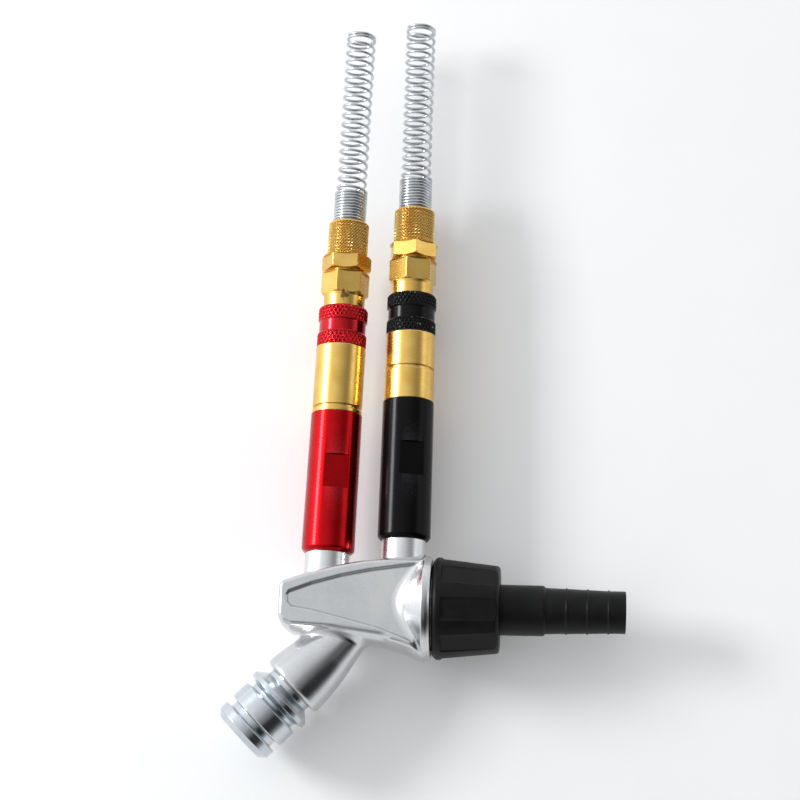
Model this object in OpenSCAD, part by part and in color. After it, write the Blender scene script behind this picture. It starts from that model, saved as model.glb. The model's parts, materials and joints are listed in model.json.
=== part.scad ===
// Twin-line fluid nozzle: a die-cast manifold with a slanted quick-connect spout, a barbed
// hose tail under a union nut, and two supply lines that end in spring-guarded hose nuts.
//
// Frame: millimetres, +Z up. The hose tail runs along +X and the two lines along +Y; both
// lines, the spout and the tail have their axes in the plane z = 0. The origin is on the tail's
// axis, at the middle of the plain land at its open end.

/* [Layout] */
// Distance from the origin back to the black line's axis
line_offset = 99.4; // [90:0.1:110]
// Distance between the two lines where they leave the casting
line_pitch = 35.8; // [30:0.1:42]
// Lean of the red line towards the black line, in degrees
red_lean = 1.33; // [0:0.01:2]
// Distance from the black line's axis to where the spout's axis crosses the tail's
spout_offset = 11.2; // [8:0.1:14]
// Angle of the spout below the -X axis, in degrees
spout_angle = 45; // [40:1:50]

/* [Casting] */
// Half thickness of the casting at its rim
cast_half_t = 14.2; // [13:0.1:15]
// Depth of the recessed panel below the rim
panel_depth = 0.9; // [0.4:0.1:1.5]
// Radius of the round flange at the union nut
flange_r = 24.4; // [23.8:0.1:25]
// Radius of the threaded spigot under the union nut
spigot_r = 19.0; // [17:0.1:19.5]
// Radius of the spout neck's cylindrical end
neck_r = 15.9; // [15:0.1:17]
// Distance along the spout's axis to the end of the cast neck
neck_end = 54.0; // [50:0.1:56]

/* [Spout nose] */
// Radius of the nose's two plain rings
nose_ring_r = 15.6; // [15:0.1:16]
// Radius of the nose's tapered catch ring
nose_catch_r = 16.5; // [16:0.1:17]
// Radius at the bottom of the nose's grooves
nose_groove_r = 12.7; // [12:0.1:13.5]
// Radius of the spout's flow bore
spout_bore_r = 7.0; // [6:0.1:7.5]
// Distance along the spout's axis to the nose's end face
nose_end = 86.2; // [84:0.1:88]

/* [Union] */
// Union nut radius at the casting
nut_r1 = 23.6; // [23:0.1:24]
// Union nut radius at the tail
nut_r2 = 20.7; // [20:0.1:21.5]
// Union nut length
nut_len = 30.7; // [28:0.1:32]
// Number of grip recesses round the union nut
nut_grips = 8; // [6:1:10]
// Radius of the hose tail at its plain end
tail_end_r = 9.7; // [9:0.1:10.5]
// Radius of the hose tail's flow bore
tail_bore_r = 7.0; // [6:0.1:7.5]

/* [Supply lines] */
// Height of the red line's valve housing above the tail's axis
red_base = 24.5; // [22:0.1:26]
// Height of the black line's valve housing above the tail's axis
black_base = 31.2; // [29:0.1:33]
// Length of the red line's visible adapter ring
red_adapter_len = 1.8; // [1.5:0.1:15]
// Length of the black line's visible adapter ring
black_adapter_len = 14.6; // [1.5:0.1:15]
// Length of a valve housing
house_len = 66.3; // [60:0.1:70]
// Radius of a valve housing at its foot
house_r1 = 12.35; // [12:0.05:12.6]
// Radius of a valve housing at its top
house_r2 = 12.0; // [11.9:0.05:12.3]
// Distance across a valve housing's two wrench flats
house_flats = 21.4; // [20.5:0.1:23]
// Radius of the brass adapters and coupler sockets
brass_r = 11.75; // [11.5:0.05:12]
// Radius over the knurled bands of a locking sleeve
sleeve_r = 11.7; // [11.5:0.05:12]
// How far a locking sleeve is pushed forward to release its plug
sleeve_travel = 3; // [2:0.1:3.2]
// How far a check poppet lifts off its seat
poppet_lift = 3; // [2:0.1:4]
// Distance across the flats of a plug's hexagon
plug_hex = 20; // [19:0.1:20.5]
// Distance across the flats of a hose nut's hexagon
nut_hex = 20.6; // [20:0.1:21]
// Radius over the knurl of a hose nut
hose_nut_r = 9.7; // [9.5:0.05:10]

/* [Spring guards] */
// Wire diameter of a spring guard
guard_wire = 1.4; // [1.2:0.05:1.45]
// Outer radius of a spring guard's close-wound part
guard_close_r = 7.95; // [7.8:0.05:8]
// Outer radius of a spring guard's open part
guard_open_r = 7.3; // [7:0.05:7.8]
// Open turns in a spring guard
guard_turns = 17; // [14:1:20]
// Length of the black line's spring guard beyond its hose nut
black_guard = 95.2; // [90:0.1:100]
// Length of the red line's spring guard beyond its hose nut
red_guard = 97.7; // [90:0.1:100]

/* [Hidden] */
$fn = 72;

// Colours
silver = [0.80, 0.82, 0.84];
zinc = [0.70, 0.75, 0.80];
steel = [0.62, 0.64, 0.66];
brass = [0.86, 0.68, 0.30];
red = [0.80, 0.08, 0.12];
black = [0.06, 0.06, 0.07];
plastic = [0.09, 0.09, 0.10];
rubber = [0.12, 0.12, 0.12];

// Fits between pieces, radial
seat_gap = 0.05;
run_gap = 0.08;
free_gap = 0.3;
eps = 0.01;

// Casting
cast_left = -55.7;
cast_inset = 2.8;
cast_step = 1.1;
gallery_r = 9.0;
gallery_len = 26;
line_bore_r = 5.5;
cross_bore_r = 6.2;
root_half_t = 13.9;
root_r = 24.2;
root_end = 10.8;
flange_back = 10.4;
flange_front = 14.1;
flange_lip_r = 22.9;
ramp_start = -1;
ramp_root_r = 12.6;
spigot_end = 33.0;
neck_root = 12;
neck_root_r = 8.4;
neck_cyl = 43;
neck_round = 3.2;
nose_socket_r = 11.4;
nose_socket_start = 40;

// Nose, distances along the spout's axis
nose_root = nose_socket_start + 3;
nose_root_lead = 1.2;
undercut_r = 11.8;
undercut_from = 54.1;
undercut_to = 56.4;
catch_from = 60.4;
catch_to = 62.6;
latch_groove_from = 64.4;
latch_groove_to = 66.2;
ring_from = 67.2;
ring_to = 75.2;
seal_groove_from = 75.9;
seal_groove_to = 79.0;
tip_from = 79.7;
tip_to = 83.4;
nose_end_r = 12.8;
edge = 0.4;
bore_lead = 1.2;
nose_seal_mid_r = 9.9;
nose_seal_wire = 1.4;

// Union joint, measured from the black line's axis
nut_start = flange_front + 0.5;
nut_end = nut_start + nut_len;
nut_corner = 1.8;
nut_shoulder = 38.8;
grip_w = 9.5;
grip_depth = 1.1;
grip_start = 4.6;
tail_flange_r = 16.8;
tail_flange_start = 34.4;
tail_flange_end = 38.6;
tail_root_r = 11.6;
tail_step = 66.1;
tail_start_r = 10.6;
tail_end = 102.8;
tail_land = 6.8;
rib_first = 75.7;
rib_pitch = 9.6;
rib_count = 3;
rib_h = 0.55;
rib_w = 1.1;
seal_r1 = 11.0;
seal_r2 = 15.5;

// Distances above a housing's foot
chamfer = 1.6;
flats_from = 29.7;
flats_to = 45.1;
stub_socket = 12.2;
stub_thread_r = 8.0;
stub_r1 = 10.4;
stub_r2 = 10.25;
stub_sink = 11;
stub_thread = 7;
chamber_from = 15;
chamber_r = 8.6;
guide_t = 3;
seat_t = 3;
adapter_socket = 12;
adapter_thread_r = 9.5;
seat_from = house_len - adapter_socket - seat_t;
stem_r = 2.4;
poppet_top = seat_from - 0.8;
poppet_r = 6.9;
poppet_t = 2.8;
seal_wire = 0.9;
seal_mid_r = 5.2;
seat_hole_r = 3.9;
passage_r = 4.4;
check_turns = 7;
check_wire = 1.0;
check_mid_r = 6.1;

// Distances above a housing's top
groove_w = 1.4;
groove_r = 10.8;
socket_thread = 5;
sleeve_foot = 32.75;
sleeve_len = 19.25;
band_lower = 6.5;
band_waist = 5.6;
sleeve_waist_r = 11.05;
sleeve_round = 0.9;
socket_barrel_r = 9.2;
socket_front = 51.4;
plug_nose = 24;
plug_r = 6.45;
plug_bore_r = 3.2;
seal_at = 29;
seal_groove_r = 8.35;
ball_r = 2.0;
ball_count = 6;
ball_at = 38;
ball_mid_r = socket_barrel_r + seat_gap - ball_r;
release_end = 37;
land_end = 42;
pocket_r = 10.5;
spring_room_r = 10.35;
ring_at = 49.9;
ring_t = 0.9;
ring_r1 = 8.7;
ring_r2 = 10.25;
sleeve_wire = 0.7;
sleeve_turns = 4;
sleeve_mid_r = 9.85;
collar_r1 = 9.65;
collar_r2 = 10.5;
hex_from = 58.4;
hex_to = 68.8;
neck_r2 = 8.3;
nut_from = 70.1;
nut_flange = 7.0;
nut_to = 95.2;
plug_thread_r = 8.6;
plug_thread_end = 80.5;
nut_bore_r = 8.7;
nut_lip = 3.2;
nut_lip_r = 8.1;
nut_round = 1.6;
hose_barb_r = 4.6;
hose_barb_end = 106;
barb_core_r = 4.3;
barb_count = 3;
barb_pitch = 4.5;
barb_land = 8;
guard_foot = 81;
guard_flare_turns = 2;
guard_flare_r = 8.6;
guard_close_to = 110.6;

// Six sides and fourteen steps a turn keep a coil light
wire_sides = 6;
turn_steps = 14;

// Turn of each line's wrench flats, plug hexagon and hose nut hexagon about its axis
red_turns = [13.5, 15.2, 1.4];
black_turns = [16.5, 18.4, -20];

// Places in the frame
black_x = -line_offset;
red_x = black_x - line_pitch;
spout_x = black_x - spout_offset;

// ---- Placing -------------------------------------------------------------------------------

// Stands a shape that was drawn along +Z on one of the lines
module on_line(x, lean) {
    translate([x, 0, 0]) rotate([0, 0, -lean]) rotate([-90, 0, 0]) children();
}

module on_red(base) {
    on_line(red_x, red_lean) translate([0, 0, base]) children();
}

module on_black(base) {
    on_line(black_x, 0) translate([0, 0, base]) children();
}

// Lays a shape that was drawn along +Z on the tail's axis
module on_tail() {
    translate([black_x, 0, 0]) rotate([0, 90, 0]) children();
}

// Lays a shape that was drawn along +Z on the spout's axis
module on_spout() {
    translate([spout_x, 0, 0]) rotate([0, 0, spout_angle]) rotate([0, -90, 0]) children();
}

// ---- Shared shapes -------------------------------------------------------------------------

module tube(r_out, r_in, h) {
    difference() {
        cylinder(r = r_out, h = h);
        translate([0, 0, -eps]) cylinder(r = r_in, h = h + 2 * eps);
    }
}

module ring(mid_r, wire_r) {
    rotate_extrude() translate([mid_r, 0]) circle(r = wire_r, $fn = 24);
}

module hexagon(across, h) {
    cylinder(r = across / sqrt(3), h = h, $fn = 6);
}

// A hexagon whose corners are turned off at both ends
module chamfered_hexagon(across, h) {
    corner = across / sqrt(3);
    cut = corner - across / 2;
    intersection() {
        hexagon(across, h);
        rotate_extrude() polygon([[0, 0], [corner - cut, 0], [corner, cut * 0.58],
            [corner, h - cut * 0.58], [corner - cut, h], [0, h]]);
    }
}

// A wire swept along a right-hand coil: radius and height are functions of the turn
module coil(turns, radius_at, height_at, wire) {
    steps = ceil(turns * turn_steps);
    points = [for (i = [0:steps]) for (j = [0:wire_sides - 1])
        let (turn = turns * i / steps,
            around = 360 * j / wire_sides,
            r = radius_at(turn) + wire / 2 * cos(around),
            z = height_at(turn) + wire / 2 * sin(around))
        [r * cos(360 * turn), r * sin(360 * turn), z]];
    sides = [for (i = [0:steps - 1]) for (j = [0:wire_sides - 1])
        let (k = (j + 1) % wire_sides, a = i * wire_sides + j, b = i * wire_sides + k)
        [a, b, b + wire_sides, a + wire_sides]];
    first = [for (j = [wire_sides - 1:-1:0]) j];
    last = [for (j = [0:wire_sides - 1]) steps * wire_sides + j];
    polyhedron(points = points, faces = concat(sides, [first, last]), convexity = 10);
}

// ---- Manifold ------------------------------------------------------------------------------

// Outline of the casting's flat part, seen from above, from the tail side round to the left end
function cast_outline() = [[0, 21.4], [-18, 19.6], [-24, 18.7], [-44.4, 13.2], [-53.6, 9.8],
    [-55.2, 7.8], [cast_left, 4], [cast_left, -7.4], [-55, -10.1], [-50.4, -12.6], [0, -19.4]];

// Where the flat part widens to the flange
function root_outline() = [[root_end, root_r], [8.5, 24], [-6, 20.2], [-6, -18],
    [0, -20.3], [6.3, -23.6], [root_end, -root_r]];

function panel_outline() = [[12, 19.8], [0, 18.2], [-14, 16.1], [-27.6, 13.2], [-41, 9.3],
    [-50.6, 5.6], [-52.2, 3.2], [-52, -0.6], [-49.8, -2.9], [-40.6, -4.3], [-26.7, -7.6],
    [-10.6, -11.7], [1, -15.9], [12, -20.6]];

// An outline given thickness, with its edges turned in by three insets
module rounded_plate(outline) {
    hull() {
        for (layer = [[cast_half_t, cast_inset], [cast_half_t - cast_step, cast_step],
                [cast_half_t - cast_inset, 0]])
            for (side = [-1, 1])
                translate([0, 0, side * layer[0] - eps / 2]) linear_extrude(eps)
                    offset(delta = -layer[1]) polygon(outline);
    }
}

// The flat part and its root, with a shallow panel sunk into each face
module cast_block() {
    difference() {
        union() {
            rounded_plate(cast_outline());
            intersection() {
                linear_extrude(2 * root_half_t, center = true) polygon(root_outline());
                rotate([0, 90, 0]) translate([0, 0, -10]) cylinder(r = root_r, h = 30);
            }
        }
        for (side = [0, 1])
            mirror([0, 0, side]) translate([0, 0, cast_half_t - panel_depth]) linear_extrude(5)
                polygon(panel_outline());
    }
}

// Flange and the coved ramp that leads up to it
module cast_flange() {
    ramp = [for (i = [0:5]) let (u = i / 5)
        [ramp_root_r + (flange_r - ramp_root_r) * pow(u, 1.35),
            ramp_start + (flange_back - ramp_start) * u]];
    rotate_extrude() polygon(concat([[0, ramp_start - 2], [ramp_root_r - 1, ramp_start - 2]], ramp,
        [[flange_r - 0.4, flange_front - 1.6], [flange_lip_r, flange_front],
            [spigot_r, flange_front], [spigot_r, spigot_end - 1],
            [spigot_r - 1, spigot_end], [0, spigot_end]]));
}

module cast_neck() {
    rounding = [for (a = [15:15:90]) [neck_r - neck_round * (1 - cos(a)) * 0.6,
        neck_end - neck_round * (1 - sin(a))]];
    rotate_extrude() polygon(concat([[0, neck_root], [neck_root_r, neck_root],
        [neck_r - 0.6, neck_cyl - 2], [neck_r, neck_cyl + 1], [neck_r, neck_end - neck_round]],
        rounding, [[0, neck_end]]));
}

// Room in the casting for a stub: its shoulder, its thread and the bore below
module stub_room(base) {
    translate([0, 0, base - stub_sink]) cylinder(r = stub_r1 + seat_gap, h = stub_sink + 5);
    translate([0, 0, base - stub_sink - stub_thread]) cylinder(r = stub_thread_r + seat_gap,
        h = stub_thread + 1);
    cylinder(r = line_bore_r, h = base);
}

module manifold_body() {
    color(silver) difference() {
        union() {
            translate([black_x, 0, 0]) cast_block();
            on_tail() cast_flange();
            on_spout() cast_neck();
        }
        on_tail() translate([0, 0, -gallery_len]) cylinder(r = gallery_r, h = gallery_len + 70);
        on_tail() translate([0, 0, -line_pitch - 3]) cylinder(r = cross_bore_r, h = line_pitch);
        on_spout() cylinder(r = spout_bore_r, h = neck_end + 1);
        on_spout() translate([0, 0, nose_socket_start])
            cylinder(r = nose_socket_r, h = neck_end);
        on_red(0) stub_room(red_base);
        on_black(0) stub_room(black_base);
    }
}

module spout_nose() {
    color(zinc) on_spout() difference() {
        rotate_extrude() polygon([[0, nose_root], [nose_socket_r - nose_root_lead, nose_root],
            [nose_socket_r - seat_gap, nose_root + nose_root_lead],
            [nose_socket_r - seat_gap, undercut_from],
            [undercut_r, undercut_from], [undercut_r, undercut_to],
            [nose_catch_r, catch_from], [nose_catch_r, catch_to],
            [nose_groove_r, latch_groove_from], [nose_groove_r, latch_groove_to],
            [nose_ring_r - edge, ring_from - edge], [nose_ring_r, ring_from],
            [nose_ring_r, ring_to], [nose_ring_r - edge, ring_to + edge],
            [nose_groove_r, seal_groove_from], [nose_groove_r, seal_groove_to],
            [nose_ring_r - edge, tip_from - edge], [nose_ring_r, tip_from],
            [nose_ring_r, tip_to], [nose_end_r, nose_end], [0, nose_end]]);
        translate([0, 0, nose_socket_start]) cylinder(r = spout_bore_r, h = nose_end);
        translate([0, 0, nose_end - bore_lead])
            cylinder(r1 = spout_bore_r, r2 = spout_bore_r + bore_lead, h = bore_lead + eps);
    }
}

module nose_seal() {
    color(rubber) on_spout() translate([0, 0, nose_root - nose_seal_wire - seat_gap])
        ring(nose_seal_mid_r, nose_seal_wire);
}

// ---- Union joint ---------------------------------------------------------------------------

module grip_cut() {
    translate([nut_r1 - grip_depth - 3.1, -grip_w / 2, grip_start])
        cube([20, grip_w, nut_len]);
}

module union_nut() {
    color(plastic) on_tail() difference() {
        rotate_extrude() polygon([[tail_root_r + free_gap, nut_shoulder],
            [spigot_r + free_gap, nut_shoulder], [spigot_r + free_gap, nut_start],
            [nut_r1 - nut_corner, nut_start], [nut_r1 - 0.5, nut_start + 0.5],
            [nut_r1, nut_start + nut_corner], [nut_r2, nut_end - nut_corner],
            [nut_r2 - 0.6, nut_end - 0.6], [nut_r2 - nut_corner, nut_end],
            [tail_root_r + free_gap, nut_end]]);
        for (i = [0:nut_grips - 1])
            rotate([0, 0, 360 / nut_grips * i + 9]) rotate([0, 5.4, 0])
                translate([0, 0, nut_start]) grip_cut();
    }
}

module hose_tail() {
    rib_end = tail_end - tail_land;
    color(plastic) on_tail() difference() {
        union() {
            rotate_extrude() polygon([[0, tail_flange_start], [tail_flange_r, tail_flange_start],
                [tail_flange_r, tail_flange_end], [tail_root_r + 0.1, tail_flange_end],
                [tail_root_r - 0.1, tail_step - 0.6], [tail_root_r - 0.6, tail_step],
                [tail_start_r, tail_step], [tail_end_r, rib_end], [tail_end_r, tail_end - 0.5],
                [tail_end_r - 0.5, tail_end], [0, tail_end]]);
            for (i = [0:rib_count - 1])
                translate([0, 0, rib_first + rib_pitch * i - rib_w / 2])
                    cylinder(r1 = tail_r_at(i) + 0.1, r2 = tail_r_at(i) + rib_h, h = rib_w);
        }
        cylinder(r = tail_bore_r, h = tail_end + 1);
    }
}

// The tapered tail's radius at one of its ribs
function tail_r_at(i) = tail_start_r
    + (tail_end_r - tail_start_r) * (rib_first + rib_pitch * i - tail_step)
    / (tail_end - tail_land - tail_step);

module tail_seal() {
    color(rubber) on_tail() translate([0, 0, spigot_end])
        tube(seal_r2, seal_r1, tail_flange_start - spigot_end);
}

// ---- One supply line: shapes above the foot of its valve housing ------------------------------

module stub() {
    difference() {
        union() {
            translate([0, 0, -stub_sink - stub_thread]) cylinder(r = stub_thread_r,
                h = stub_sink + stub_thread + stub_socket);
            translate([0, 0, -stub_sink]) cylinder(r1 = stub_r1, r2 = stub_r2, h = stub_sink);
        }
        translate([0, 0, -stub_sink - stub_thread - 1]) cylinder(r = line_bore_r, h = 60);
    }
}

module valve_housing(turn) {
    difference() {
        rotate_extrude() polygon([[0, 0], [house_r1 - 1.3, 0], [house_r1, chamfer],
            [house_r2, house_len - 0.3], [house_r2 - 0.3, house_len], [0, house_len]]);
        translate([0, 0, -1]) cylinder(r = stub_thread_r + seat_gap, h = stub_socket + 1 + seat_gap);
        cylinder(r = line_bore_r, h = house_len);
        translate([0, 0, chamber_from]) cylinder(r = chamber_r, h = seat_from - chamber_from + eps);
        translate([0, 0, seat_from]) cylinder(r = adapter_thread_r + seat_gap, h = house_len);
        rotate([0, 0, turn]) for (side = [-1, 1])
            translate([-house_r1, side * (house_flats / 2 + 5) - 5, flats_from])
                cube([2 * house_r1, 10, flats_to - flats_from]);
    }
}

module check_guide() {
    translate([0, 0, chamber_from]) difference() {
        cylinder(r = chamber_r - seat_gap, h = guide_t);
        translate([0, 0, -1]) cylinder(r = stem_r + run_gap, h = guide_t + 2);
        for (i = [0:5])
            rotate([0, 0, 60 * i]) translate([4.1, 0, -1]) cylinder(r = 1.2, h = guide_t + 2, $fn = 24);
    }
}

module check_spring() {
    foot = chamber_from + guide_t + check_wire / 2;
    lift = poppet_top - poppet_t - check_wire / 2 - foot;
    coil(check_turns, function(turn) check_mid_r,
        function(turn) foot + lift * turn / check_turns, check_wire);
}

module check_poppet() {
    difference() {
        union() {
            translate([0, 0, chamber_from - 1]) cylinder(r = stem_r, h = poppet_top - chamber_from);
            translate([0, 0, poppet_top - poppet_t]) cylinder(r = poppet_r, h = poppet_t);
            translate([0, 0, poppet_top]) cylinder(r1 = seat_hole_r - 0.4, r2 = 1.8, h = 2.4);
        }
        translate([0, 0, poppet_top - seal_wire - 0.1]) rotate_extrude()
            translate([seal_mid_r - seal_wire, 0]) square([2 * seal_wire, 3]);
    }
}

module check_seal() {
    translate([0, 0, seat_from - seal_wire - 0.02]) ring(seal_mid_r, seal_wire - 0.02);
}

module check_seat() {
    translate([0, 0, seat_from]) difference() {
        cylinder(r = adapter_thread_r, h = seat_t);
        translate([0, 0, -1]) cylinder(r = seat_hole_r, h = seat_t + 2);
    }
}

module adapter(length) {
    difference() {
        union() {
            translate([0, 0, house_len - adapter_socket])
                cylinder(r = adapter_thread_r, h = adapter_socket + 1);
            translate([0, 0, house_len]) rotate_extrude() polygon([[0, 0], [brass_r - 0.25, 0],
                [brass_r, 0.25], [brass_r, length - 0.25], [brass_r - 0.25, length],
                [groove_r, length], [groove_r, length + groove_w], [0, length + groove_w]]);
            translate([0, 0, house_len + length]) cylinder(r = adapter_thread_r - 1,
                h = groove_w + socket_thread);
        }
        cylinder(r = passage_r, h = 200);
    }
}

// Heights from here up are above a housing's top
module coupler_socket(foot) {
    difference() {
        rotate_extrude() polygon([[0, foot], [brass_r - 0.3, foot], [brass_r, foot + 0.3],
            [brass_r, sleeve_foot - 0.45], [brass_r - 0.3, sleeve_foot - 0.15],
            [socket_barrel_r, sleeve_foot - 0.15], [socket_barrel_r, socket_front - 0.5],
            [socket_barrel_r - 0.5, socket_front], [0, socket_front]]);
        translate([0, 0, foot - 1])
            cylinder(r = adapter_thread_r - 1 + seat_gap, h = socket_thread + 1 + seat_gap);
        cylinder(r = passage_r, h = 60);
        translate([0, 0, plug_nose - 0.5]) cylinder(r = plug_r + run_gap, h = 60);
        translate([0, 0, seal_at - 1]) cylinder(r = seal_groove_r, h = 2);
        translate([0, 0, ring_at]) tube(socket_barrel_r + 1, ring_r1, ring_t + 2 * seat_gap);
        for (i = [0:ball_count - 1])
            rotate([0, 0, 360 / ball_count * i]) translate([plug_r - 1, 0, ball_at])
                rotate([0, 90, 0]) cylinder(r = ball_r + seat_gap, h = 8, $fn = 36);
    }
}

module socket_seal() {
    translate([0, 0, seal_at]) ring(plug_r + 0.03 + seal_wire, seal_wire);
}

module locking_balls() {
    for (i = [0:ball_count - 1])
        rotate([0, 0, 360 / ball_count * i]) translate([ball_mid_r, 0, ball_at])
            sphere(r = ball_r, $fn = 36);
}

module locking_sleeve() {
    top = sleeve_foot + sleeve_len;
    waist = sleeve_foot + band_lower;
    upper = waist + band_waist;
    step = sleeve_r - sleeve_waist_r;
    rotate_extrude() polygon([[pocket_r, sleeve_foot], [sleeve_r - 0.3, sleeve_foot],
        [sleeve_r, sleeve_foot + 0.3], [sleeve_r, waist - step], [sleeve_waist_r, waist],
        [sleeve_waist_r, upper], [sleeve_r, upper + step], [sleeve_r, top - sleeve_round],
        [sleeve_r - sleeve_round * 0.3, top - sleeve_round * 0.3], [sleeve_r - sleeve_round, top],
        [spring_room_r, top], [spring_room_r, land_end], [socket_barrel_r + run_gap, land_end],
        [socket_barrel_r + run_gap, release_end], [pocket_r, release_end]]);
}

module sleeve_spring() {
    foot = land_end + sleeve_wire / 2 + eps;
    lift = ring_at - sleeve_wire / 2 - eps - foot;
    coil(sleeve_turns, function(turn) sleeve_mid_r,
        function(turn) foot + lift * turn / sleeve_turns, sleeve_wire);
}

module retaining_ring() {
    translate([0, 0, ring_at + seat_gap]) tube(ring_r2, ring_r1 + seat_gap, ring_t);
}

// Saw-toothed part of the plug that the hose is pushed over, from its thread to its plain end
function hose_barb() = concat(
    [[barb_core_r, plug_thread_end]],
    [for (i = [0:barb_count - 1]) let (foot = plug_thread_end + 3 + barb_pitch * i)
        each [[barb_core_r, foot], [hose_barb_r + 0.7, foot], [barb_core_r, foot + barb_pitch - 0.5]]],
    [[barb_core_r, hose_barb_end - barb_land], [hose_barb_r, hose_barb_end - barb_land],
        [hose_barb_r, hose_barb_end], [0, hose_barb_end]]);

module coupler_plug(turn) {
    collar_from = socket_front + 0.15;
    difference() {
        union() {
            rotate_extrude() polygon(concat([[0, plug_nose], [plug_r, plug_nose],
                [plug_r, collar_from], [collar_r1, collar_from], [collar_r2, hex_from],
                [neck_r2, hex_from], [neck_r2, nut_from], [plug_thread_r, nut_from],
                [plug_thread_r, plug_thread_end]], hose_barb()));
            translate([0, 0, hex_from]) rotate([0, 0, turn])
                chamfered_hexagon(plug_hex, hex_to - hex_from);
        }
        translate([0, 0, ball_at]) ring(ball_mid_r, ball_r + run_gap);
        translate([0, 0, plug_nose - 1]) cylinder(r = plug_bore_r, h = 100);
    }
}

module hose_nut(turn) {
    length = nut_to - nut_from - 0.2;
    translate([0, 0, nut_from + 0.2]) difference() {
        union() {
            rotate([0, 0, turn]) chamfered_hexagon(nut_hex, nut_flange);
            rotate_extrude() polygon(concat([[0, 0], [hose_nut_r, 0],
                [hose_nut_r, length - nut_round]],
                [for (a = [30:30:90]) [hose_nut_r - nut_round * 0.8 * (1 - cos(a)),
                    length - nut_round * (1 - sin(a))]], [[0, length]]));
        }
        translate([0, 0, -1]) cylinder(r = nut_bore_r, h = length - nut_lip + 1);
        cylinder(r = nut_lip_r, h = length + 1);
    }
}

module spring_guard(beyond) {
    foot = guard_foot + guard_wire / 2;
    pitch = guard_wire + 0.05;
    close_turns = (guard_close_to - foot) / pitch;
    end_turns = 1.5;
    open_from = foot + close_turns * pitch;
    open_to = nut_to + beyond - guard_wire / 2 - end_turns * pitch;
    mid = function(outer) outer - guard_wire / 2;
    height = function(turn) turn < close_turns ? foot + turn * pitch
        : turn < close_turns + guard_turns
        ? open_from + (open_to - open_from) * (turn - close_turns) / guard_turns
        : open_to + (turn - close_turns - guard_turns) * pitch;
    radius = function(turn) turn < guard_flare_turns ? mid(guard_flare_r)
        : turn < guard_flare_turns + 1
        ? mid(guard_flare_r + (guard_close_r - guard_flare_r) * (turn - guard_flare_turns))
        : turn < close_turns ? mid(guard_close_r)
        : mid(guard_open_r + (guard_close_r - guard_open_r) * max(0, 1 - turn + close_turns));
    mirror([0, 1, 0]) coil(close_turns + guard_turns + end_turns, radius, height, guard_wire);
}

// ---- The two lines ---------------------------------------------------------------------------

module red_foot() {
    on_red(red_base) children();
}

module red_top() {
    on_red(red_base + house_len) children();
}

module black_foot() {
    on_black(black_base) children();
}

module black_top() {
    on_black(black_base + house_len) children();
}

module red_stub() { color(silver) red_foot() stub(); }
module red_valve_housing() { color(red) red_foot() valve_housing(red_turns[0]); }
module red_check_guide() { color(brass) red_foot() check_guide(); }
module red_check_spring() { color(steel) red_foot() check_spring(); }
module red_check_poppet() { color(brass) red_foot() check_poppet(); }
module red_check_seal() { color(rubber) red_foot() check_seal(); }
module red_check_seat() { color(brass) red_foot() check_seat(); }
module red_adapter() { color(brass) red_foot() adapter(red_adapter_len); }
module red_coupler_socket() { color(brass) red_top() coupler_socket(red_adapter_len + groove_w); }
module red_socket_seal() { color(rubber) red_top() socket_seal(); }
module red_locking_balls() { color(steel) red_top() locking_balls(); }
module red_locking_sleeve() { color(red) red_top() locking_sleeve(); }
module red_sleeve_spring() { color(steel) red_top() sleeve_spring(); }
module red_retaining_ring() { color(steel) red_top() retaining_ring(); }
module red_coupler_plug() { color(brass) red_top() coupler_plug(red_turns[1]); }
module red_hose_nut() { color(brass) red_top() hose_nut(red_turns[2]); }
module red_spring_guard() { color(steel) red_top() spring_guard(red_guard); }

module black_stub() { color(silver) black_foot() stub(); }
module black_valve_housing() { color(black) black_foot() valve_housing(black_turns[0]); }
module black_check_guide() { color(brass) black_foot() check_guide(); }
module black_check_spring() { color(steel) black_foot() check_spring(); }
module black_check_poppet() { color(brass) black_foot() check_poppet(); }
module black_check_seal() { color(rubber) black_foot() check_seal(); }
module black_check_seat() { color(brass) black_foot() check_seat(); }
module black_adapter() { color(brass) black_foot() adapter(black_adapter_len); }
module black_coupler_socket() { color(brass) black_top() coupler_socket(black_adapter_len + groove_w); }
module black_socket_seal() { color(rubber) black_top() socket_seal(); }
module black_locking_balls() { color(steel) black_top() locking_balls(); }
module black_locking_sleeve() { color(black) black_top() locking_sleeve(); }
module black_sleeve_spring() { color(steel) black_top() sleeve_spring(); }
module black_retaining_ring() { color(steel) black_top() retaining_ring(); }
module black_coupler_plug() { color(brass) black_top() coupler_plug(black_turns[1]); }
module black_hose_nut() { color(brass) black_top() hose_nut(black_turns[2]); }
module black_spring_guard() { color(steel) black_top() spring_guard(black_guard); }

manifold_body();
spout_nose();
nose_seal();
union_nut();
hose_tail();
tail_seal();
red_stub();
red_valve_housing();
red_check_guide();
red_check_spring();
red_check_poppet();
red_check_seal();
red_check_seat();
red_adapter();
red_coupler_socket();
red_socket_seal();
red_locking_balls();
red_locking_sleeve();
red_sleeve_spring();
red_retaining_ring();
red_coupler_plug();
red_hose_nut();
red_spring_guard();
black_stub();
black_valve_housing();
black_check_guide();
black_check_spring();
black_check_poppet();
black_check_seal();
black_check_seat();
black_adapter();
black_coupler_socket();
black_socket_seal();
black_locking_balls();
black_locking_sleeve();
black_sleeve_spring();
black_retaining_ring();
black_coupler_plug();
black_hose_nut();
black_spring_guard();
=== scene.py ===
import json
from math import cos, hypot, pi, radians, sin, tan

import bpy
import numpy as np
from mathutils import Matrix, Vector


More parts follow.
